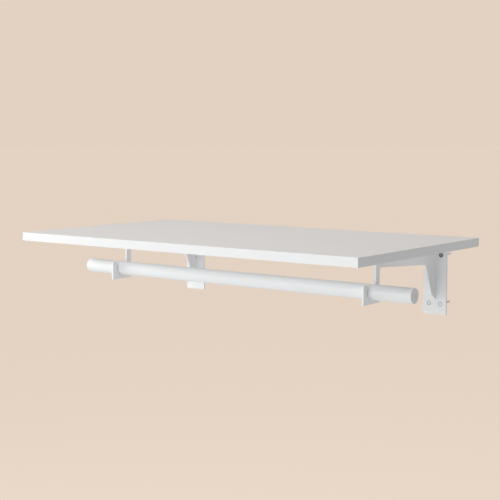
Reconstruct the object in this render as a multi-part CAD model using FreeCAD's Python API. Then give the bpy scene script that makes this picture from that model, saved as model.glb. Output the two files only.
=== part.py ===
import FreeCAD, Part
import os

# Wall shelf: a white board on two welded steel brackets, with a round clothes rail that lies in
# open-topped hooks at the front ends of the brackets.
#
# Frame, millimetres: X runs along the wall, +Y points into the wall and +Z is up. The wall's face
# is the plane Y = 0, so the shelf reaches towards -Y. The origin is the middle of the board's back
# edge: half way along its length and half way through its thickness.

# ---------------------------------------------------------------- driving dimensions

SHELF_LENGTH = 900.0
SHELF_DEPTH = 500.0
SHELF_THICKNESS = 19.0
BAND_THICKNESS = 1.0        # glued strips round the board's four edges
BAND_EDGE_RADIUS = 0.5

BRACKET_SPACING = 695.0     # between the middles of the two brackets
STEEL_EDGE_RADIUS = 0.4     # softened edges of the powder-coated plates

PLATE_WIDTH = 57.0
PLATE_HEIGHT = 158.0
PLATE_THICKNESS = 4.0
PLATE_CORNER_RADIUS = 1.5

FLANGE_WIDTH = 40.0
FLANGE_THICKNESS = 4.0

WEB_THICKNESS = 5.0
ARM_TIP_DROP = 29.5         # arm's lower edge below the board, at the hook
ARM_ROOT_DROP = 42.5        # the same, where the arm meets the leg
ROOT_REACH = 52.0           # leg's front edge from the wall, at the arm
ROOT_RADIUS = 12.0
KNEE_REACH = 23.0           # where the leg's front edge bends towards the plate
KNEE_DROP = 111.0
KNEE_RADIUS = 25.0
TOE_DROP = 124.0            # lower end of the leg

RAIL_RADIUS = 16.0
RAIL_WALL = 1.5
RAIL_REACH = 282.0          # rail's axis from the wall
RAIL_DROP = 76.5            # rail's axis below the board
RAIL_LENGTH = 898.0         # over the caps
RAIL_CLEARANCE = 0.4        # between the rail and its hooks

HOOK_STRIP = 15.0           # width of the hook's post and lip
HOOK_FLOOR = 9.0            # steel below the rail
LIP_RISE = 15.0             # lip's top above the rail's axis
HOOK_CORNER_RADIUS = 1.5
HOOK_NECK = 16.0            # length of arm that is cut in one with the hook
HOOK_NECK_RADIUS = 7.0

CAP_FLANGE = 4.0
CAP_RIM_RADIUS = 0.8
CAP_PLUG_LENGTH = 18.0
CAP_PLUG_WALL = 2.0
CAP_PLUG_CLEARANCE = 0.1
CAP_DIMPLE_RADIUS = 3.0
CAP_DIMPLE_DEPTH = 0.6

WALL_SCREW_SPACING_X = 28.0
WALL_SCREW_SPACING_Z = 110.0
WALL_SCREW_RADIUS = 2.5
WALL_SCREW_LENGTH = 50.0
WALL_SCREW_HEAD_RADIUS = 5.2
WALL_SCREW_NECK_RADIUS = 2.9    # under the head, tapering to the shank at the wall's face
WALL_SCREW_HOLE_RADIUS = 3.0
WALL_SCREW_SINK = 0.2       # head's face below the plate's face
COUNTERSINK_RADIUS = 5.8
TIP_LENGTH = 5.0

BOARD_SCREW_SPACING_X = 23.0
BOARD_SCREW_REACHES = (50.0, 215.0)
BOARD_SCREW_RADIUS = 2.0
BOARD_SCREW_LENGTH = 16.0
BOARD_SCREW_HEAD_RADIUS = 4.0
BOARD_SCREW_HEAD_HEIGHT = 2.4
BOARD_SCREW_HOLE_RADIUS = 2.25
PILOT_CLEARANCE = 0.05

RECESS_LENGTH = 4.6         # cross recess in every screw head
RECESS_WIDTH = 1.2
RECESS_DEPTH = 1.6

# ---------------------------------------------------------------- worked-out places

BOARD_TOP = SHELF_THICKNESS / 2
BOARD_UNDERSIDE = -SHELF_THICKNESS / 2
SHELF_END = SHELF_LENGTH / 2
BRACKET_X = BRACKET_SPACING / 2
PLATE_BOTTOM = BOARD_UNDERSIDE - PLATE_HEIGHT
FLANGE_UNDERSIDE = BOARD_UNDERSIDE - FLANGE_THICKNESS
RAIL_Z = BOARD_UNDERSIDE - RAIL_DROP
CRADLE_RADIUS = RAIL_RADIUS + RAIL_CLEARANCE
POST_FRONT = RAIL_REACH - CRADLE_RADIUS
POST_BACK = POST_FRONT - HOOK_STRIP
LIP_BACK = RAIL_REACH + CRADLE_RADIUS
LIP_FRONT = LIP_BACK + HOOK_STRIP
LIP_TOP = RAIL_Z + LIP_RISE
HOOK_BOTTOM = RAIL_Z - CRADLE_RADIUS - HOOK_FLOOR
ARM_END = POST_BACK - HOOK_NECK

ALONG_X = FreeCAD.Vector(1, 0, 0)
INTO_WALL = FreeCAD.Vector(0, 1, 0)
UP = FreeCAD.Vector(0, 0, 1)
TOLERANCE = 0.01


# ---------------------------------------------------------------- shape helpers

def block(x_range, y_range, z_range):
    """A box between the lower and upper limits on each axis."""
    corner = FreeCAD.Vector(x_range[0], y_range[0], z_range[0])
    length = x_range[1] - x_range[0]
    width = y_range[1] - y_range[0]
    height = z_range[1] - z_range[0]
    return Part.makeBox(length, width, height, corner)


def span(middle, width):
    """The lower and upper limit of a width about its middle."""
    return (middle - width / 2, middle + width / 2)


def outline_point(reach, z):
    """A point of an upright outline, given by its distance from the wall."""
    return FreeCAD.Vector(0, -reach, z)


def upright_plate(edges, middle_x):
    """A plate of the web's thickness, cut to an outline in the YZ plane."""
    face = Part.Face(Part.Wire(edges))
    face.translate(FreeCAD.Vector(middle_x - WEB_THICKNESS / 2, 0, 0))
    return face.extrude(ALONG_X * WEB_THICKNESS)


def straight_edges(points):
    """Straight edges from each point to the next."""
    return [Part.makeLine(a, b) for a, b in zip(points, points[1:])]


def round_corner(plate, reach, z, radius):
    """Round the plate's edge that runs along X through one outline point."""
    chosen = []
    for edge in plate.Edges:
        middle = edge.BoundBox.Center
        if abs(middle.y + reach) < TOLERANCE and abs(middle.z - z) < TOLERANCE:
            chosen.append(edge)
    return plate.makeFillet(radius, chosen)


def soften_rims(plate, middle_x):
    """Soften the edges that bound the two faces of an upright plate."""
    rims = []
    for edge in plate.Edges:
        if edge.BoundBox.XLength < TOLERANCE and abs(edge.BoundBox.Center.x - middle_x) > TOLERANCE:
            rims.append(edge)
    return plate.makeFillet(STEEL_EDGE_RADIUS, rims)


def cross_recess(head_centre, inwards):
    """The cross-shaped recess of a screw head, cut inwards from the middle of its face."""
    long_side = span(0, RECESS_LENGTH)
    short_side = span(0, RECESS_WIDTH)
    depth = (0, RECESS_DEPTH)
    recess = block(long_side, short_side, depth).fuse(block(short_side, long_side, depth))
    turn = FreeCAD.Rotation(UP, inwards)
    recess.Placement = FreeCAD.Placement(head_centre, turn)
    return recess


# ---------------------------------------------------------------- board

def make_board_core():
    """The melamine-faced slab, with a blind pilot hole for every bracket screw."""
    core = block(
        span(0, SHELF_LENGTH - 2 * BAND_THICKNESS),
        (-SHELF_DEPTH + BAND_THICKNESS, -BAND_THICKNESS),
        (BOARD_UNDERSIDE, BOARD_TOP),
    )
    depth = BOARD_SCREW_LENGTH - FLANGE_THICKNESS + PILOT_CLEARANCE
    for middle_x in (-BRACKET_X, BRACKET_X):
        for x, y in board_screw_places(middle_x):
            mouth = FreeCAD.Vector(x, y, BOARD_UNDERSIDE)
            pilot = Part.makeCylinder(BOARD_SCREW_RADIUS + PILOT_CLEARANCE, depth, mouth, UP)
            core = core.cut(pilot)
    return core


def make_edge_band(x_range, y_range):
    """A full-height strip on one edge, with its outer upper and lower edges softened."""
    band = block(x_range, y_range, (BOARD_UNDERSIDE, BOARD_TOP))
    middle = band.BoundBox.Center
    along_x = band.BoundBox.XLength > band.BoundBox.YLength
    core_middle_y = -SHELF_DEPTH / 2
    outer = []
    for edge in band.Edges:
        centre = edge.BoundBox.Center
        flat = edge.BoundBox.ZLength < TOLERANCE
        if along_x:
            outwards = (centre.y - middle.y) * (middle.y - core_middle_y)
            lengthwise = edge.BoundBox.XLength > TOLERANCE
        else:
            outwards = (centre.x - middle.x) * middle.x
            lengthwise = edge.BoundBox.YLength > TOLERANCE
        if flat and lengthwise and outwards > 0:
            outer.append(edge)
    return band.makeFillet(BAND_EDGE_RADIUS, outer)


def make_edge_bands():
    """The four strips: front and back run the whole length, the ends fit between them."""
    front = (-SHELF_DEPTH, -SHELF_DEPTH + BAND_THICKNESS)
    back = (-BAND_THICKNESS, 0)
    between = (front[1], back[0])
    return {
        "front_edge_band": make_edge_band((-SHELF_END, SHELF_END), front),
        "back_edge_band": make_edge_band((-SHELF_END, SHELF_END), back),
        "left_edge_band": make_edge_band((-SHELF_END, -SHELF_END + BAND_THICKNESS), between),
        "right_edge_band": make_edge_band((SHELF_END - BAND_THICKNESS, SHELF_END), between),
    }


# ---------------------------------------------------------------- bracket

def wall_screw_heights():
    """The heights of the upper and lower screw rows, placed evenly on the plate."""
    middle = BOARD_UNDERSIDE - PLATE_HEIGHT / 2
    return (middle + WALL_SCREW_SPACING_Z / 2, middle - WALL_SCREW_SPACING_Z / 2)


def make_wall_plate(middle_x):
    """The plate that lies on the wall, with four countersunk holes."""
    plate = block(
        span(middle_x, PLATE_WIDTH), (-PLATE_THICKNESS, 0), (PLATE_BOTTOM, BOARD_UNDERSIDE)
    )
    corners = [edge for edge in plate.Edges if edge.BoundBox.YLength > TOLERANCE]
    plate = plate.makeFillet(PLATE_CORNER_RADIUS, corners)
    front_rim = []
    for edge in plate.Edges:
        box = edge.BoundBox
        if box.YLength < TOLERANCE and abs(box.Center.y + PLATE_THICKNESS) < TOLERANCE:
            front_rim.append(edge)
    plate = plate.makeFillet(STEEL_EDGE_RADIUS, front_rim)
    sink_depth = COUNTERSINK_RADIUS - WALL_SCREW_HOLE_RADIUS
    for z in wall_screw_heights():
        for x in span(middle_x, WALL_SCREW_SPACING_X):
            mouth = FreeCAD.Vector(x, -PLATE_THICKNESS, z)
            hole = Part.makeCylinder(WALL_SCREW_HOLE_RADIUS, PLATE_THICKNESS, mouth, INTO_WALL)
            sink = Part.makeCone(
                COUNTERSINK_RADIUS, WALL_SCREW_HOLE_RADIUS, sink_depth, mouth, INTO_WALL
            )
            plate = plate.cut(hole).cut(sink)
    return plate


def arm_edge_z(reach):
    """Height of the arm's sloping lower edge at a distance from the wall."""
    slope = (ARM_ROOT_DROP - ARM_TIP_DROP) / (POST_BACK - ROOT_REACH)
    return BOARD_UNDERSIDE - ARM_TIP_DROP - slope * (POST_BACK - reach)


def make_web(middle_x):
    """Arm and leg in one plate: rounded where they meet, and tapering down to the toe."""
    root_z = BOARD_UNDERSIDE - ARM_ROOT_DROP
    knee_z = BOARD_UNDERSIDE - KNEE_DROP
    toe_z = BOARD_UNDERSIDE - TOE_DROP
    corners = [
        outline_point(PLATE_THICKNESS, FLANGE_UNDERSIDE),
        outline_point(ARM_END, FLANGE_UNDERSIDE),
        outline_point(ARM_END, arm_edge_z(ARM_END)),
        outline_point(ROOT_REACH, root_z),
        outline_point(KNEE_REACH, knee_z),
        outline_point(PLATE_THICKNESS, toe_z),
    ]
    web = upright_plate(straight_edges(corners + corners[:1]), middle_x)
    web = round_corner(web, ROOT_REACH, root_z, ROOT_RADIUS)
    web = round_corner(web, KNEE_REACH, knee_z, KNEE_RADIUS)
    return soften_rims(web, middle_x)


def make_top_flange(middle_x):
    """The flat strip under the board, from the wall plate to the hook's front."""
    flange = block(
        span(middle_x, FLANGE_WIDTH),
        (-POST_FRONT, -PLATE_THICKNESS),
        (FLANGE_UNDERSIDE, BOARD_UNDERSIDE),
    )
    lower_rim = []
    for edge in flange.Edges:
        box = edge.BoundBox
        if box.ZLength < TOLERANCE and abs(box.Center.z - FLANGE_UNDERSIDE) < TOLERANCE:
            lower_rim.append(edge)
    flange = flange.makeFillet(STEEL_EDGE_RADIUS, lower_rim)
    for x, y in board_screw_places(middle_x):
        mouth = FreeCAD.Vector(x, y, FLANGE_UNDERSIDE)
        hole = Part.makeCylinder(BOARD_SCREW_HOLE_RADIUS, FLANGE_THICKNESS, mouth, UP)
        flange = flange.cut(hole)
    return flange


def make_rail_hook(middle_x):
    """The J hook: neck, post, half-round cradle and front lip, cut from one plate."""
    neck_z = arm_edge_z(ARM_END)
    shoulder_z = arm_edge_z(POST_BACK)
    cradle = Part.Arc(
        outline_point(LIP_BACK, RAIL_Z),
        outline_point(RAIL_REACH, RAIL_Z - CRADLE_RADIUS),
        outline_point(POST_FRONT, RAIL_Z),
    ).toShape()
    behind = straight_edges([
        outline_point(POST_FRONT, RAIL_Z),
        outline_point(POST_FRONT, FLANGE_UNDERSIDE),
        outline_point(ARM_END, FLANGE_UNDERSIDE),
        outline_point(ARM_END, neck_z),
        outline_point(POST_BACK, shoulder_z),
        outline_point(POST_BACK, HOOK_BOTTOM),
        outline_point(LIP_FRONT, HOOK_BOTTOM),
        outline_point(LIP_FRONT, LIP_TOP),
        outline_point(LIP_BACK, LIP_TOP),
        outline_point(LIP_BACK, RAIL_Z),
    ])
    hook = upright_plate([cradle] + behind, middle_x)
    hook = round_corner(hook, POST_BACK, shoulder_z, HOOK_NECK_RADIUS)
    for reach, z in (
        (POST_BACK, HOOK_BOTTOM),
        (LIP_FRONT, HOOK_BOTTOM),
        (LIP_FRONT, LIP_TOP),
        (LIP_BACK, LIP_TOP),
    ):
        hook = round_corner(hook, reach, z, HOOK_CORNER_RADIUS)
    return soften_rims(hook, middle_x)


# ---------------------------------------------------------------- rail

def make_rail_tube():
    """The rail's tube, which stops where the caps' flanges begin."""
    length = RAIL_LENGTH - 2 * CAP_FLANGE
    start = FreeCAD.Vector(-length / 2, -RAIL_REACH, RAIL_Z)
    outside = Part.makeCylinder(RAIL_RADIUS, length, start, ALONG_X)
    inside = Part.makeCylinder(RAIL_RADIUS - RAIL_WALL, length, start, ALONG_X)
    return outside.cut(inside)


def make_rail_cap(side):
    """An end cap: a flange flush with the tube and a hollow plug inside it."""
    outwards = ALONG_X * side
    tube_end = side * (RAIL_LENGTH / 2 - CAP_FLANGE)
    seat = FreeCAD.Vector(tube_end, -RAIL_REACH, RAIL_Z)
    flange = Part.makeCylinder(RAIL_RADIUS, CAP_FLANGE, seat, outwards)
    face_x = side * RAIL_LENGTH / 2
    rim = []
    for edge in flange.Edges:
        if edge.BoundBox.XLength < TOLERANCE and abs(edge.BoundBox.Center.x - face_x) < TOLERANCE:
            rim.append(edge)
    flange = flange.makeFillet(CAP_RIM_RADIUS, rim)
    face_centre = FreeCAD.Vector(face_x, -RAIL_REACH, RAIL_Z)
    dimple = Part.makeCylinder(CAP_DIMPLE_RADIUS, CAP_DIMPLE_DEPTH, face_centre, outwards * -1)
    plug_radius = RAIL_RADIUS - RAIL_WALL - CAP_PLUG_CLEARANCE
    plug = Part.makeCylinder(plug_radius, CAP_PLUG_LENGTH, seat, outwards * -1)
    hollow = Part.makeCylinder(plug_radius - CAP_PLUG_WALL, CAP_PLUG_LENGTH, seat, outwards * -1)
    return flange.cut(dimple).fuse(plug.cut(hollow)).removeSplitter()


# ---------------------------------------------------------------- screws

def make_wall_screw(x, z):
    """A countersunk wood screw that goes through the plate and into the wall."""
    face_y = -PLATE_THICKNESS + WALL_SCREW_SINK
    neck_y = face_y + WALL_SCREW_HEAD_RADIUS - WALL_SCREW_NECK_RADIUS
    tip_y = face_y + WALL_SCREW_LENGTH - TIP_LENGTH
    face = FreeCAD.Vector(x, face_y, z)
    sections = (
        (face_y, WALL_SCREW_HEAD_RADIUS, neck_y, WALL_SCREW_NECK_RADIUS),
        (neck_y, WALL_SCREW_NECK_RADIUS, 0, WALL_SCREW_RADIUS),
        (tip_y, WALL_SCREW_RADIUS, tip_y + TIP_LENGTH, 0),
    )
    screw = Part.makeCylinder(WALL_SCREW_RADIUS, tip_y, FreeCAD.Vector(x, 0, z), INTO_WALL)
    for start_y, start_radius, end_y, end_radius in sections:
        start = FreeCAD.Vector(x, start_y, z)
        taper = Part.makeCone(start_radius, end_radius, end_y - start_y, start, INTO_WALL)
        screw = screw.fuse(taper)
    return screw.removeSplitter().cut(cross_recess(face, INTO_WALL))


def make_wall_screw_pair(middle_x, z):
    """The two screws of one row."""
    return Part.Compound([make_wall_screw(x, z) for x in span(middle_x, WALL_SCREW_SPACING_X)])


def board_screw_places(middle_x):
    """Where the bracket is screwed to the board: a pair of places near each end of the flange."""
    places = []
    for reach in BOARD_SCREW_REACHES:
        for x in span(middle_x, BOARD_SCREW_SPACING_X):
            places.append((x, -reach))
    return places


def make_board_screw(x, y):
    """A pan-head screw, driven up through the flange into the board."""
    seat = FreeCAD.Vector(x, y, FLANGE_UNDERSIDE)
    crown = seat - UP * BOARD_SCREW_HEAD_HEIGHT
    head = Part.makeCylinder(BOARD_SCREW_HEAD_RADIUS, BOARD_SCREW_HEAD_HEIGHT, crown, UP)
    crown_rim = []
    for edge in head.Edges:
        box = edge.BoundBox
        if box.ZLength < TOLERANCE and abs(box.Center.z - crown.z) < TOLERANCE:
            crown_rim.append(edge)
    head = head.makeFillet(BOARD_SCREW_HEAD_HEIGHT / 2, crown_rim)
    tip_length = BOARD_SCREW_RADIUS * 2
    shank_length = BOARD_SCREW_LENGTH - tip_length
    shank = Part.makeCylinder(BOARD_SCREW_RADIUS, shank_length, seat, UP)
    tip = Part.makeCone(BOARD_SCREW_RADIUS, 0, tip_length, seat + UP * shank_length, UP)
    screw = head.fuse(shank).fuse(tip).removeSplitter()
    return screw.cut(cross_recess(crown, UP))


def make_board_screws(middle_x):
    """All the screws that hold the board on one bracket."""
    return Part.Compound([make_board_screw(x, y) for x, y in board_screw_places(middle_x)])


# ---------------------------------------------------------------- all the pieces

def make_bracket(name, middle_x):
    """The welded plates of one bracket and the screws that hold it."""
    upper_z, lower_z = wall_screw_heights()
    return {
        name + "_wall_plate": make_wall_plate(middle_x),
        name + "_web": make_web(middle_x),
        name + "_top_flange": make_top_flange(middle_x),
        name + "_rail_hook": make_rail_hook(middle_x),
        name + "_upper_wall_screws": make_wall_screw_pair(middle_x, upper_z),
        name + "_lower_wall_screws": make_wall_screw_pair(middle_x, lower_z),
        name + "_board_screws": make_board_screws(middle_x),
    }


pieces = {"board_core": make_board_core()}
pieces.update(make_edge_bands())
pieces.update(make_bracket("left", -BRACKET_X))
pieces.update(make_bracket("right", BRACKET_X))
pieces["rail_tube"] = make_rail_tube()
pieces["rail_cap_left"] = make_rail_cap(-1)
pieces["rail_cap_right"] = make_rail_cap(1)

os.makedirs("parts", exist_ok=True)
for node, shape in pieces.items():
    shape.exportStep("parts/" + node + ".step")
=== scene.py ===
import math
import random

import bmesh
import bpy
from mathutils import Matrix, Vector


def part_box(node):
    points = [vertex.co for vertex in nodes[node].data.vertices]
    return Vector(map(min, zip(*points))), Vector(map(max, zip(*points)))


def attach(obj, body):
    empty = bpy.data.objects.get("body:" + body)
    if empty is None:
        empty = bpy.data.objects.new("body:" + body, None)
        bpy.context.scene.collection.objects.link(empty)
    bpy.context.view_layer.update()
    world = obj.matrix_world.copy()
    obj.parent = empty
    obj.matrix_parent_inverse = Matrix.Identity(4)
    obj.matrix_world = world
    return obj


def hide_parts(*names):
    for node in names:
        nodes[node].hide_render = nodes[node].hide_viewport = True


# The looks of the wall shelf: finishes for the board, brackets, rail and screws, weld beads on the
# brackets, threaded screws, and a plain studio. Metres, in the frame of the CAD model: X along the
# wall, +Y into the wall, +Z up.

MM = 0.001
X, Y, Z = 0, 1, 2

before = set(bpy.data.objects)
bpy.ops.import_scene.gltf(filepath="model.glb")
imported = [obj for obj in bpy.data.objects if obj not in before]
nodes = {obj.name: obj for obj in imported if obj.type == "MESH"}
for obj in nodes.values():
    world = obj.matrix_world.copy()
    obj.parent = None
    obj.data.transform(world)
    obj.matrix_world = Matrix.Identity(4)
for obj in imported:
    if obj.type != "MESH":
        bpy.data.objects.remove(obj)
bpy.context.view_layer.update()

SIDES = ("left", "right")


# ---------------------------------------------------------------- node helpers

MIX_FIRST, MIX_SECOND = 6, 7        # the colour sockets of a Mix node
MIX_RESULT = 2


class Look:
    """One procedural material, with its shader and short calls for the nodes it needs."""

    def __init__(self, name, roughness, metallic=0.0, ior=1.5, coat=0.0, coat_roughness=0.1):
        self.material = bpy.data.materials.new(name)
        self.material.use_nodes = True
        self.tree = self.material.node_tree
        self.shader = next(n for n in self.tree.nodes if n.type == "BSDF_PRINCIPLED")
        self.shader.inputs["Roughness"].default_value = roughness
        self.shader.inputs["Metallic"].default_value = metallic
        self.shader.inputs["IOR"].default_value = ior
        self.shader.inputs["Coat Weight"].default_value = coat
        self.shader.inputs["Coat Roughness"].default_value = coat_roughness
        place = self.tree.nodes.new("ShaderNodeTexCoord")
        self.place = place.outputs["Object"]

    def add(self, kind, **settings):
        node = self.tree.nodes.new(kind)
        for key, value in settings.items():
            setattr(node, key, value)
        return node

    def link(self, source, target):
        self.tree.links.new(source, target)

    def stretched(self, scale):
        """The object's own coordinates, stretched by a scale on each axis."""
        mapping = self.add("ShaderNodeMapping")
        mapping.inputs["Scale"].default_value = scale
        self.link(self.place, mapping.inputs["Vector"])
        return mapping.outputs["Vector"]

    def noise(self, scale, detail=2.0, where=None):
        node = self.add("ShaderNodeTexNoise")
        node.inputs["Scale"].default_value = scale
        node.inputs["Detail"].default_value = detail
        self.link(where or self.place, node.inputs["Vector"])
        return node.outputs["Fac"]

    def remap(self, value, from_range, to_range):
        node = self.add("ShaderNodeMapRange")
        for key, number in zip(("From Min", "From Max"), from_range):
            node.inputs[key].default_value = number
        for key, number in zip(("To Min", "To Max"), to_range):
            node.inputs[key].default_value = number
        self.link(value, node.inputs["Value"])
        return node.outputs["Result"]

    def maths(self, operation, first, second):
        node = self.add("ShaderNodeMath", operation=operation)
        for socket, value in zip(node.inputs, (first, second)):
            if isinstance(value, (int, float)):
                socket.default_value = value
            else:
                self.link(value, socket)
        return node.outputs[0]

    def mix(self, factor, first, second):
        """A colour between first and second; each is a colour or a socket."""
        node = self.add("ShaderNodeMix", data_type="RGBA")
        self.link(factor, node.inputs["Factor"])
        for number, value in ((MIX_FIRST, first), (MIX_SECOND, second)):
            if isinstance(value, tuple):
                node.inputs[number].default_value = (*value, 1.0)
            else:
                self.link(value, node.inputs[number])
        return node.outputs[MIX_RESULT]

    def edges(self, radius):
        """From 0 on flat faces to 1 on an edge that is sharper than the radius."""
        bevel = self.add("ShaderNodeBevel", samples=6)
        bevel.inputs["Radius"].default_value = radius
        normal = self.add("ShaderNodeNewGeometry").outputs["Normal"]
        dot = self.add("ShaderNodeVectorMath", operation="DOT_PRODUCT")
        self.link(bevel.outputs["Normal"], dot.inputs[0])
        self.link(normal, dot.inputs[1])
        return self.remap(dot.outputs["Value"], (0.99, 0.85), (0.0, 1.0))

    def wear(self, radius, patches):
        """Edges that are worn in patches: both are from 0 to 1, and so is their product."""
        return self.maths("MULTIPLY", self.edges(radius), patches)

    def bump(self, height, strength, distance, after=None):
        node = self.add("ShaderNodeBump")
        node.inputs["Strength"].default_value = strength
        node.inputs["Distance"].default_value = distance
        self.link(height, node.inputs["Height"])
        if after is not None:
            self.link(after, node.inputs["Normal"])
        return node.outputs["Normal"]

    def finish(self, colour, roughness, normal):
        self.link(colour, self.shader.inputs["Base Color"])
        self.link(roughness, self.shader.inputs["Roughness"])
        self.link(normal, self.shader.inputs["Normal"])
        return self.material


def near(look, axis, centre, half_width, softness):
    """1 where the object's coordinate on an axis is near a place, and 0 away from it."""
    split = look.add("ShaderNodeSeparateXYZ")
    look.link(look.place, split.inputs["Vector"])
    off = look.maths("ABSOLUTE", look.maths("SUBTRACT", split.outputs[axis], centre), 0.0)
    return look.remap(off, (half_width, half_width + softness), (1.0, 0.0))


# ---------------------------------------------------------------- finishes

def melamine():
    """White melamine facing: a fine pearl grain, a trace of mottling and long faint wipe marks."""
    look = Look("melamine_white", roughness=0.42, ior=1.5)
    mottle = look.noise(7.0, detail=4.0)
    colour = look.mix(mottle, (0.800, 0.803, 0.806), (0.835, 0.836, 0.834))
    wipes = look.noise(1.0, detail=5.0, where=look.stretched((4.0, 60.0, 60.0)))
    scuffs = look.remap(wipes, (0.60, 0.75), (0.0, 1.0))
    colour = look.mix(look.maths("MULTIPLY", scuffs, 0.22), colour, (0.765, 0.765, 0.765))
    worn = look.wear(0.9 * MM, look.noise(45.0))
    colour = look.mix(worn, colour, (0.70, 0.69, 0.67))
    pearl = look.noise(1250.0, detail=1.0)
    roughness = look.remap(look.maths("ADD", pearl, scuffs), (0.3, 1.7), (0.38, 0.52))
    normal = look.bump(pearl, 0.16, 0.05 * MM)
    return look.finish(colour, roughness, normal)


def edge_band():
    """The plastic edge strip: smoother than the face, with lengthwise trimming marks."""
    look = Look("edge_band_white", roughness=0.34, ior=1.5)
    marks = look.noise(1.0, detail=3.0, where=look.stretched((14.0, 14.0, 1600.0)))
    mottle = look.noise(18.0)
    colour = look.mix(mottle, (0.825, 0.828, 0.832), (0.855, 0.857, 0.858))
    worn = look.wear(0.6 * MM, look.remap(look.noise(60.0), (0.35, 0.7), (0.1, 1.0)))
    colour = look.mix(worn, colour, (0.73, 0.73, 0.72))
    roughness = look.remap(marks, (0.3, 0.7), (0.29, 0.42))
    return look.finish(colour, roughness, look.bump(marks, 0.10, 0.04 * MM))


def powder_coat(name, peel, light, dark, rub_spans=()):
    """Powder coat on steel: orange peel, thinner and greyer on sharp edges.

    rub_spans lists (x, half width) stretches along X, burnished by what the steel lies on."""
    look = Look(name, roughness=0.36, ior=1.5, coat=0.12, coat_roughness=0.22)
    cells = look.noise(peel, detail=1.0)
    fine = look.noise(peel * 3.1, detail=2.0)
    drift = look.noise(11.0, detail=3.0)
    colour = look.mix(drift, dark, light)
    worn = look.wear(0.7 * MM, look.remap(look.noise(75.0), (0.4, 0.75), (0.12, 0.9)))
    colour = look.mix(worn, colour, (0.66, 0.66, 0.66))
    roughness = look.remap(fine, (0.3, 0.7), (0.32, 0.42))
    for x, half_width in rub_spans:
        streaks = look.noise(1.0, detail=4.0, where=look.stretched((900.0, 60.0, 60.0)))
        streaks = look.remap(streaks, (0.42, 0.7), (0.0, 0.7))
        rub = look.maths("MULTIPLY", near(look, X, x, half_width, 1.5 * MM), streaks)
        colour = look.mix(rub, colour, (0.70, 0.70, 0.71))
    normal = look.bump(cells, 0.22, 0.12 * MM)
    normal = look.bump(fine, 0.10, 0.04 * MM, after=normal)
    return look.finish(colour, roughness, normal)


def moulded_cap():
    """Moulded plastic with a fine spark texture, a touch warmer than the rail."""
    look = Look("cap_white", roughness=0.45, ior=1.46)
    spark = look.noise(1500.0, detail=2.0)
    flow = look.noise(1.0, detail=2.0, where=look.stretched((30.0, 90.0, 90.0)))
    colour = look.mix(flow, (0.805, 0.803, 0.797), (0.840, 0.838, 0.832))
    worn = look.wear(0.6 * MM, look.noise(90.0))
    colour = look.mix(worn, colour, (0.72, 0.72, 0.71))
    roughness = look.remap(spark, (0.3, 0.7), (0.40, 0.52))
    return look.finish(colour, roughness, look.bump(spark, 0.22, 0.05 * MM))


def metal(name, light, dark, roughness, edge_colour):
    """A plated or blackened steel screw: fine turning lines, stains, and edges worn through to
    bright steel. The same recipe makes the painted shade ring of the lower screws' heads and the
    partly painted highlight in the middle of the upper screws' heads.
    """
    look = Look(name, roughness=roughness, metallic=1.0)
    stains = look.noise(420.0, detail=4.0)
    colour = look.mix(look.remap(stains, (0.35, 0.65), (0.0, 1.0)), dark, light)
    worn = look.wear(0.25 * MM, look.remap(look.noise(900.0), (0.3, 0.7), (0.2, 1.0)))
    colour = look.mix(worn, colour, edge_colour)
    turning = look.noise(2600.0, detail=2.0)
    rough = look.remap(stains, (0.3, 0.7), (roughness - 0.07, roughness + 0.10))
    return look.finish(colour, rough, look.bump(turning, 0.12, 0.02 * MM))


def rubbed_spans():
    """Where the rail lies in the hooks: (x, half width) for each bracket."""
    spans = []
    for side in SIDES:
        web_low, web_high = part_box(side + "_web")
        spans.append(((web_low.x + web_high.x) / 2, (web_high.x - web_low.x) / 2 + 0.5 * MM))
    return spans


board_look = melamine()
band_look = edge_band()
bracket_look = powder_coat(
    "bracket_white", peel=260.0, light=(0.872, 0.873, 0.875), dark=(0.840, 0.842, 0.846)
)
rail_look = powder_coat(
    "rail_white", peel=420.0, light=(0.842, 0.845, 0.850), dark=(0.818, 0.821, 0.826),
    rub_spans=rubbed_spans(),
)
cap_look = moulded_cap()

# Each screw finish: light colour, dark colour, roughness, colour of the rubbed edges.
screw_looks = {}
for name, light, dark, roughness, rubbed in (
    ("black", (0.170, 0.166, 0.162), (0.095, 0.093, 0.091), 0.42, (0.42, 0.41, 0.40)),
    ("bright", (0.90, 0.90, 0.89), (0.80, 0.80, 0.80), 0.48, (0.94, 0.94, 0.93)),
    # painted shade: a darker ring on the lower screws' heads, standing in for the shadow in the gap
    # around each head
    ("painted_shade_ring", (0.50, 0.50, 0.49), (0.40, 0.40, 0.40), 0.42, (0.72, 0.72, 0.72)),
    # partly metal rubbed bright by the driver in the recess, partly a painted highlight over the
    # middle of the upper screws' heads
    ("bare_metal_and_painted_highlight", (0.60, 0.59, 0.58), (0.46, 0.45, 0.45), 0.40, (0.75, 0.74, 0.73)),
    ("zinc", (0.86, 0.85, 0.84), (0.74, 0.73, 0.72), 0.44, (0.92, 0.91, 0.90)),
):
    screw_looks[name] = metal("screw_" + name, light, dark, roughness, rubbed)

finishes = {"board_core": board_look, "rail_tube": rail_look}
for edge in ("front", "back", "left", "right"):
    finishes[edge + "_edge_band"] = band_look
for side in SIDES:
    finishes["rail_cap_" + side] = cap_look
    for plate in ("wall_plate", "web", "top_flange", "rail_hook"):
        finishes[side + "_" + plate] = bracket_look

for name, material in finishes.items():
    nodes[name].material_slots[0].material = material


# ---------------------------------------------------------------- mesh helpers

def piece_from(name, mesh, materials, body):
    """Link a finished mesh as a piece that rides on a CAD body."""
    for material in materials:
        mesh.materials.append(material)
    piece = bpy.data.objects.new(name, mesh)
    bpy.context.scene.collection.objects.link(piece)
    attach(piece, body)
    return piece


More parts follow.
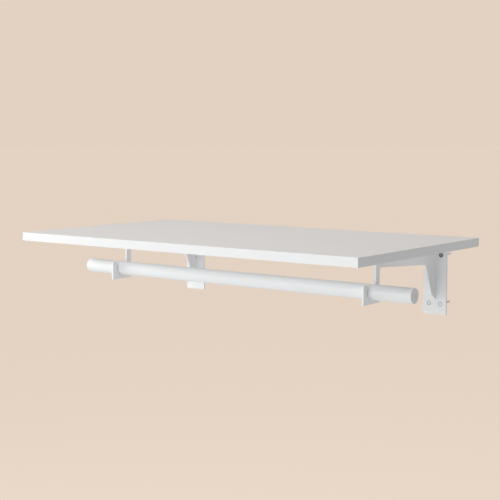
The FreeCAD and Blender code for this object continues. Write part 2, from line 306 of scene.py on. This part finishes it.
def mesh_of(name, built):
    """A bmesh as a mesh, with its normals outwards and only its sharp edges shaded hard."""
    bmesh.ops.recalc_face_normals(built, faces=built.faces)
    sharp = math.radians(38)
    for edge in built.edges:
        edge.smooth = not (edge.is_manifold and edge.calc_face_angle(0.0) > sharp)
    for face in built.faces:
        face.smooth = True
    mesh = bpy.data.meshes.new(name)
    built.to_mesh(mesh)
    built.free()
    return mesh


def skin(built, rings):
    """Faces between rings of points, each ring closed on itself, with flat ends."""
    loops = [[built.verts.new(point) for point in ring] for ring in rings]
    count = len(loops[0])
    for low, high in zip(loops, loops[1:]):
        for i in range(count):
            j = (i + 1) % count
            built.faces.new((low[i], low[j], high[j], high[i]))
    built.faces.new(loops[0])
    built.faces.new(loops[-1])


# ---------------------------------------------------------------- weld beads

BEAD_LEG = 2.4 * MM         # of the fillet, measured on each plate
BEAD_RIPPLE = 2.2 * MM      # from one ripple to the next
BEAD_SUNK = 0.25 * MM       # how far the bead reaches into the plates
BEAD_CHORDS = 6             # across the bead's quarter-round face
BEAD_WAIST = 0.20           # how much nearer the corner the bead's middle is than its two toes
BEAD_RUN_OUT = 1.4          # length of the rounded ends, in legs
RINGS_PER_RIPPLE = 5
RIPPLE_DEPTH = 0.10         # share of the leg
RIPPLE_POWER = 0.6          # below 1: each ripple rises fast and then levels off
RIPPLE_MEAN = 0.62
DRIFT_DEPTH = 0.06          # slow change of the bead's width, as a share of the leg
DRIFT_RATE = 210            # radians per metre

PLATE_BEAD, PLATE_BEAD_GAP = 42 * MM, 20 * MM
FLANGE_BEAD, FLANGE_BEAD_GAP = 26 * MM, 34 * MM


def bead_rings(start, end, across, up, leg, draw):
    """Rings along a fillet bead. across and up point away from the corner along the two plates."""
    along = end - start
    length = along.length
    steps = max(8, round(length / BEAD_RIPPLE * RINGS_PER_RIPPLE))
    phase = draw.random() * math.tau
    rings = []
    for step in range(steps + 1):
        s = length * step / steps
        to_end = min(s, length - s)
        fade = math.sqrt(min(1.0, to_end / (BEAD_RUN_OUT * leg) + 0.02))
        saw = (s / BEAD_RIPPLE + phase) % 1.0
        ripple = 1.0 + RIPPLE_DEPTH * (saw ** RIPPLE_POWER - RIPPLE_MEAN)
        drift = 1.0 + DRIFT_DEPTH * math.sin(s * DRIFT_RATE + phase)
        reach = leg * fade * ripple * drift
        centre = start + along * (s / length)
        ring = [centre - (across + up) * BEAD_SUNK]
        for part in range(BEAD_CHORDS + 1):
            turn = math.pi / 2 * part / BEAD_CHORDS
            crown = reach * (1.0 - BEAD_WAIST + BEAD_WAIST * abs(math.cos(2 * turn)))
            ring.append(centre + across * (crown * math.cos(turn)) + up * (crown * math.sin(turn)))
        rings.append(ring)
    return rings


def fillet_welds(name, runs, leg, seed):
    """One piece of several beads; runs are (start, end, across, up)."""
    draw = random.Random(seed)
    built = bmesh.new()
    for start, end, across, up in runs:
        skin(built, bead_rings(start, end, across, up, leg, draw))
    piece_from(name, mesh_of(name, built), [bracket_look], "shelf")


def stitches(low, high, length, gap):
    """Start and end of evenly spaced stitch welds that fill a span from end to end."""
    count = max(1, round((high - low + gap) / (length + gap)))
    free = (high - low - count * length) / max(1, count - 1)
    return [(low + i * (length + free), low + i * (length + free) + length) for i in range(count)]


def bracket_welds(side):
    """Stitch welds from a bracket's web to its wall plate and to its flange."""
    web_low, web_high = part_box(side + "_web")
    plate_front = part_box(side + "_wall_plate")[0].y
    flange_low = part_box(side + "_top_flange")[0]
    hook_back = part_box(side + "_rail_hook")[1].y
    plate_span = (web_low.z + 6 * MM, flange_low.z - 5 * MM)
    flange_span = (hook_back + 8 * MM, plate_front - 10 * MM)
    down = Vector((0, 0, -1))
    outwards = Vector((0, -1, 0))
    plate_runs, flange_runs = [], []
    for sign, face_x in ((-1, web_low.x), (1, web_high.x)):
        across = Vector((sign, 0, 0))
        for low, high in stitches(*plate_span, PLATE_BEAD, PLATE_BEAD_GAP):
            start = Vector((face_x, plate_front, low))
            end = Vector((face_x, plate_front, high))
            plate_runs.append((start, end, across, outwards))
        for low, high in stitches(*flange_span, FLANGE_BEAD, FLANGE_BEAD_GAP):
            start = Vector((face_x, low, flange_low.z))
            end = Vector((face_x, high, flange_low.z))
            flange_runs.append((start, end, across, down))
    fillet_welds(side + "_plate_welds", plate_runs, BEAD_LEG, side + "plate")
    fillet_welds(side + "_flange_welds", flange_runs, BEAD_LEG * 0.9, side + "flange")


for side in SIDES:
    bracket_welds(side)


# ---------------------------------------------------------------- screws

COUNTERSUNK_SIDES = 48
PAN_HEAD_SIDES = 40
THREAD_SIDES = 22               # steps of the thread in one turn
THREAD_SUNK = 0.12 * MM         # how far the thread's root reaches into the core
ON_AXIS = 0.001 * MM            # radius of a flat end that is too small to see
POINT_RADIUS = 0.02 * MM

WALL_SCREW_RADIUS = 2.5 * MM    # over the thread
WALL_SCREW_PITCH = 2.4 * MM
WALL_SCREW_RECESS = (5.0 * MM, 1.25 * MM, 2.1 * MM)     # length, width and depth of the cross
WALL_HEAD_MIDDLE = 3.1 * MM     # radius of the middle of the head, past its recess

BOARD_SCREW_RADIUS = 2.0 * MM
BOARD_SCREW_PITCH = 1.5 * MM
BOARD_SCREW_RECESS = (4.2 * MM, 1.1 * MM, 1.6 * MM)
BOARD_HEAD_RADIUS = 4.0 * MM
BOARD_HEAD_MIDDLE = 2.3 * MM

RIM, MIDDLE, SHANK = 0, 1, 2    # material indices of a screw's surfaces


def turned(built, profile, sides):
    """A solid of revolution about +Z from (z, radius) points, closed by flat ends."""
    rings = []
    for z, radius in profile:
        ring = []
        for i in range(sides):
            angle = math.tau * i / sides
            ring.append(Vector((radius * math.cos(angle), radius * math.sin(angle), z)))
        rings.append(ring)
    skin(built, rings)


def thread_ridge(built, z_low, z_high, core, crest, pitch):
    """A sharp helical ridge on a core, which runs out to nothing at both ends."""
    turns = (z_high - z_low) / pitch
    steps = round(turns * THREAD_SIDES)
    rings = []
    for step in range(steps + 1):
        angle = math.tau * step / THREAD_SIDES
        z = z_low + pitch * step / THREAD_SIDES
        fade = min(1.0, step / THREAD_SIDES, (steps - step) / (1.5 * THREAD_SIDES))
        outer = core + (crest - core) * fade
        half = 0.22 * pitch * (0.25 + 0.75 * fade)
        outwards = Vector((math.cos(angle), math.sin(angle), 0))
        root = outwards * (core - THREAD_SUNK)
        rings.append([
            root + Vector((0, 0, z - half)),
            outwards * outer + Vector((0, 0, z - 0.03 * pitch)),
            outwards * outer + Vector((0, 0, z + 0.03 * pitch)),
            root + Vector((0, 0, z + half)),
        ])
    skin(built, rings)


def cross_cutter(length, width, depth):
    """A tapering cross, driven into +Z from the plane Z = 0, for a screw head's recess."""
    built = bmesh.new()
    for turn in (0.0, math.pi / 2):
        spin = Matrix.Rotation(turn, 3, "Z")
        rings = []
        for z, share in ((-0.3 * MM, 1.06), (depth * 0.55, 0.74), (depth, 0.30)):
            x, y = length / 2 * share, width / 2 * (0.55 + 0.45 * share)
            corners = ((-x, -y), (x, -y), (x, y), (-x, y))
            rings.append([spin @ Vector((a, b, z)) for a, b in corners])
        skin(built, rings)
    return mesh_of("cross_cutter", built)


def cut_recess(mesh, recess):
    """The screw's mesh with the recess cut out of its head."""
    body = bpy.data.objects.new("screw_blank", mesh)
    cutter = bpy.data.objects.new("screw_cutter", recess)
    for thing in (body, cutter):
        bpy.context.scene.collection.objects.link(thing)
    cut = body.modifiers.new("recess", "BOOLEAN")
    cut.operation = "DIFFERENCE"
    cut.solver = "EXACT"
    cut.use_self = True
    cut.object = cutter
    bpy.context.view_layer.update()
    depsgraph = bpy.context.evaluated_depsgraph_get()
    result = bpy.data.meshes.new_from_object(body.evaluated_get(depsgraph))
    for thing in (body, cutter):
        bpy.data.objects.remove(thing)
    return result


def paint_screw(mesh, head_end, middle_radius):
    """Material indices for a screw along +Z: the outer ring and the middle of its head, and its
    shank. On the lower screws the outer ring carries painted shade; on the upper screws the middle
    is partly a painted highlight.
    """
    for face in mesh.polygons:
        at = face.center
        if at.z > head_end:
            face.material_index = SHANK
        elif math.hypot(at.x, at.y) < middle_radius:
            face.material_index = MIDDLE
        else:
            face.material_index = RIM


def wall_screw_mesh(head_radius, length, plate_depth):
    """A countersunk wood screw along +Z, its head's face at Z = 0."""
    core = WALL_SCREW_RADIUS * 0.68
    neck = head_radius * 0.56
    cone_end = head_radius - neck
    thread_start = plate_depth + 4 * MM
    tip = length - 7 * MM
    head = bmesh.new()
    # From the flat face over the rim and down the cone, then the neck, the core and the point.
    turned(head, [
        (0.0, ON_AXIS), (0.0, WALL_HEAD_MIDDLE), (0.0, head_radius * 0.93),
        (0.05 * MM, head_radius * 0.985),
        (0.22 * MM, head_radius), (0.42 * MM, head_radius * 0.985), (cone_end, neck),
        (plate_depth, WALL_SCREW_RADIUS * 0.86), (thread_start, WALL_SCREW_RADIUS * 0.80),
        (thread_start + 1 * MM, core), (tip, core), (length - 1.2 * MM, core * 0.35),
        (length, POINT_RADIUS),
    ], sides=COUNTERSUNK_SIDES)
    blank = cut_recess(mesh_of("screw", head), cross_cutter(*WALL_SCREW_RECESS))
    built = bmesh.new()
    built.from_mesh(blank)
    thread_end = length - 2.0 * MM
    thread_ridge(built, thread_start, thread_end, core, WALL_SCREW_RADIUS, WALL_SCREW_PITCH)
    mesh = mesh_of("wall_screw", built)
    paint_screw(mesh, cone_end, WALL_HEAD_MIDDLE)
    return mesh


def board_screw_mesh(head_height, length):
    """A pan-head screw along +Z, its crown at Z = 0; length is under the head."""
    core = BOARD_SCREW_RADIUS * 0.70
    thread_start = head_height + 1.0 * MM
    thread_end = head_height + length - 1.5 * MM
    built = bmesh.new()
    profile = [(0.0, ON_AXIS), (0.0, BOARD_HEAD_RADIUS * 0.45)]
    crown_steps = 8
    for step in range(1, crown_steps + 1):
        turn = math.pi / 2 * step / crown_steps
        radius = BOARD_HEAD_RADIUS * (0.45 + 0.55 * math.sin(turn))
        profile.append((head_height * 0.75 * (1 - math.cos(turn)), radius))
    profile += [
        (head_height, BOARD_HEAD_RADIUS), (head_height, BOARD_SCREW_RADIUS * 0.85),
        (thread_start, core), (head_height + length - 4 * MM, core),
        (head_height + length, POINT_RADIUS),
    ]
    turned(built, profile, sides=PAN_HEAD_SIDES)
    blank = cut_recess(mesh_of("screw", built), cross_cutter(*BOARD_SCREW_RECESS))
    built = bmesh.new()
    built.from_mesh(blank)
    thread_ridge(built, thread_start, thread_end, core, BOARD_SCREW_RADIUS, BOARD_SCREW_PITCH)
    mesh = mesh_of("board_screw", built)
    paint_screw(mesh, head_height, BOARD_HEAD_MIDDLE)
    return mesh


def screw_group(node, single, materials, places, towards, seed):
    """One piece that stands for a CAD node of screws: a copy of the single screw at each place."""
    draw = random.Random(seed)
    built = bmesh.new()
    turn_to = Vector((0, 0, 1)).rotation_difference(towards).to_matrix().to_4x4()
    for place in places:
        copy = bmesh.new()
        copy.from_mesh(single)
        spin = Matrix.Rotation(draw.uniform(0, math.tau), 4, "Z")
        copy.transform(Matrix.Translation(place) @ turn_to @ spin)
        part = bpy.data.meshes.new("part")
        copy.to_mesh(part)
        copy.free()
        built.from_mesh(part)
        bpy.data.meshes.remove(part)
    name = node + "_threaded"
    piece = piece_from(name, mesh_of(name, built), materials, "shelf")
    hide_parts(node)


def screw_places(node, head_radius, axis):
    """Where a node's screws are: one in each corner of its box, or one at each end of a row."""
    low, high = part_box(node)
    first, second = [a for a in range(3) if a != axis]
    places = []
    for a in sorted({low[first] + head_radius, high[first] - head_radius}):
        for b in sorted({low[second] + head_radius, high[second] - head_radius}):
            place = Vector((0, 0, 0))
            place[first], place[second], place[axis] = a, b, low[axis]
            if not any((place - other).length < 2 * MM for other in places):
                places.append(place)
    return places


upper_low, upper_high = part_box("left_upper_wall_screws")
wall_head_radius = (upper_high.z - upper_low.z) / 2
wall_screw = wall_screw_mesh(wall_head_radius, upper_high.y - upper_low.y, -upper_low.y)
board_low, board_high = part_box("left_board_screws")
flange_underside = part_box("left_top_flange")[0].z
board_screw = board_screw_mesh(flange_underside - board_low.z, board_high.z - flange_underside)

# Each row of screws: its mesh, head's radius, axis, slot, and the looks of rim, middle and shank.
screw_rows = (
    # upper screws: the lighter middle of each head is partly driver wear and partly a painted
    # highlight
    ("upper_wall", wall_screw, wall_head_radius, Y, "screw_dark", ("black", "bare_metal_and_painted_highlight", "zinc")),
    # lower screws: the darker outer ring of each head is painted shade for the gap around the head
    ("lower_wall", wall_screw, wall_head_radius, Y, "screw_light", ("painted_shade_ring", "bright", "zinc")),
    ("board", board_screw, BOARD_HEAD_RADIUS, Z, "screw_zinc", ("zinc", "zinc", "zinc")),
)
for side in SIDES:
    for row, single, head_radius, axis, slot, look_names in screw_rows:
        node = f"{side}_{row}_screws"
        looks = [screw_looks[name] for name in look_names]
        towards = Vector((0, 0, 0))
        towards[axis] = 1
        places = screw_places(node, head_radius, axis)
        screw_group(node, single, looks, places, towards, seed=node)


# ---------------------------------------------------------------- studio

FLOOR_Z = -1.65                         # the shelf hangs at about head height
FLOOR_HALF = 300.0
FLOOR_SEEN = (0.750, 0.625, 0.515)      # the glow that the camera sees, besides the light it catches
FLOOR_BOUNCE = (0.645, 0.645, 0.648)    # the glow that lights the shelf from below
BACKDROP = (0.77, 0.645, 0.535)
AIR_COLOUR = (0.99, 0.995, 1.0)
AIR_STRENGTH = 0.13
SHELF_MIDDLE = (0.0, -0.3, 0.0)

CAMERA_PLACE = (1.5008, -2.2191, 0.2284)
CAMERA_DOWN = 5.83                      # degrees below the horizon
CAMERA_TURN = 37.02                     # degrees from straight at the wall
CAMERA_LENS = 80.02                     # mm, on a sensor 36 mm wide

# Each light: place, size, watts, colour. All of them aim at the shelf.
LIGHTS = {
    "key": ((-1.8, -2.0, 2.8), (2.0, 2.0), 36, (1.0, 0.995, 0.985)),
    "front_fill": ((-0.6, -4.2, 0.4), (3.0, 1.6), 54, (0.935, 0.995, 1.0)),
    "overhead": ((0.0, -0.5, 3.2), (2.5, 2.5), 72, (1.0, 0.915, 0.865)),
    "left_side": ((-3.4, -1.5, 0.3), (1.6, 1.6), 68, (1.0, 1.0, 0.98)),
    "back_soft": ((1.6, 3.6, 1.4), (2.0, 1.6), 25, (1.0, 1.0, 1.0)),
}


def make_floor():
    """A plain pale floor with a soft glow, so that it fades into the backdrop far away."""
    built = bmesh.new()
    bmesh.ops.create_grid(built, x_segments=8, y_segments=8, size=FLOOR_HALF)
    floor = bpy.data.objects.new("studio_floor", mesh_of("studio_floor", built))
    floor.location = (0, 0, FLOOR_Z)
    bpy.context.scene.collection.objects.link(floor)
    look = Look("studio_floor", roughness=0.9)
    shade = look.noise(0.6, detail=3.0)
    colour = look.mix(shade, (0.115, 0.110, 0.105), (0.125, 0.120, 0.115))
    grain = look.noise(60.0)
    seen = look.add("ShaderNodeLightPath").outputs["Is Camera Ray"]
    look.link(look.mix(seen, FLOOR_BOUNCE, FLOOR_SEEN), look.shader.inputs["Emission Color"])
    look.shader.inputs["Emission Strength"].default_value = 1.0
    roughness = look.remap(grain, (0.3, 0.7), (0.85, 0.95))
    normal = look.bump(grain, 0.05, 1 * MM)
    floor.data.materials.append(look.finish(colour, roughness, normal))


def make_light(name, place, size, watts, colour):
    """A soft rectangular light, aimed at the shelf."""
    data = bpy.data.lights.new(name, "AREA")
    data.shape = "RECTANGLE"
    data.size, data.size_y = size
    data.energy = watts
    data.color = colour
    light = bpy.data.objects.new(name, data)
    light.location = place
    aim = Vector(SHELF_MIDDLE) - Vector(place)
    light.rotation_euler = aim.to_track_quat("-Z", "Y").to_euler()
    bpy.context.scene.collection.objects.link(light)


def make_world():
    """Soft light from all round, and a plain backdrop where the camera sees past the floor."""
    world = bpy.data.worlds.new("studio_air")
    world.use_nodes = True
    tree = world.node_tree
    glow = tree.nodes["Background"]
    glow.inputs["Color"].default_value = (*AIR_COLOUR, 1.0)
    glow.inputs["Strength"].default_value = AIR_STRENGTH
    backdrop = tree.nodes.new("ShaderNodeBackground")
    backdrop.inputs["Color"].default_value = (*BACKDROP, 1.0)
    seen = tree.nodes.new("ShaderNodeLightPath")
    choose = tree.nodes.new("ShaderNodeMixShader")
    tree.links.new(seen.outputs["Is Camera Ray"], choose.inputs[0])
    tree.links.new(glow.outputs[0], choose.inputs[1])
    tree.links.new(backdrop.outputs[0], choose.inputs[2])
    output = next(n for n in tree.nodes if n.type == "OUTPUT_WORLD")
    tree.links.new(choose.outputs[0], output.inputs["Surface"])
    bpy.context.scene.world = world


def make_camera():
    """A view from the shelf's front right, a little above the board."""
    data = bpy.data.cameras.new("camera")
    data.sensor_width = 36.0
    data.lens = CAMERA_LENS
    data.clip_end = 200.0
    camera = bpy.data.objects.new("camera", data)
    camera.location = CAMERA_PLACE
    camera.rotation_euler = (math.radians(90 - CAMERA_DOWN), 0.0, math.radians(CAMERA_TURN))
    bpy.context.scene.collection.objects.link(camera)
    bpy.context.scene.camera = camera


make_floor()
make_world()
for name, settings in LIGHTS.items():
    make_light(name, *settings)
make_camera()
bpy.context.scene.view_settings.view_transform = "Standard"
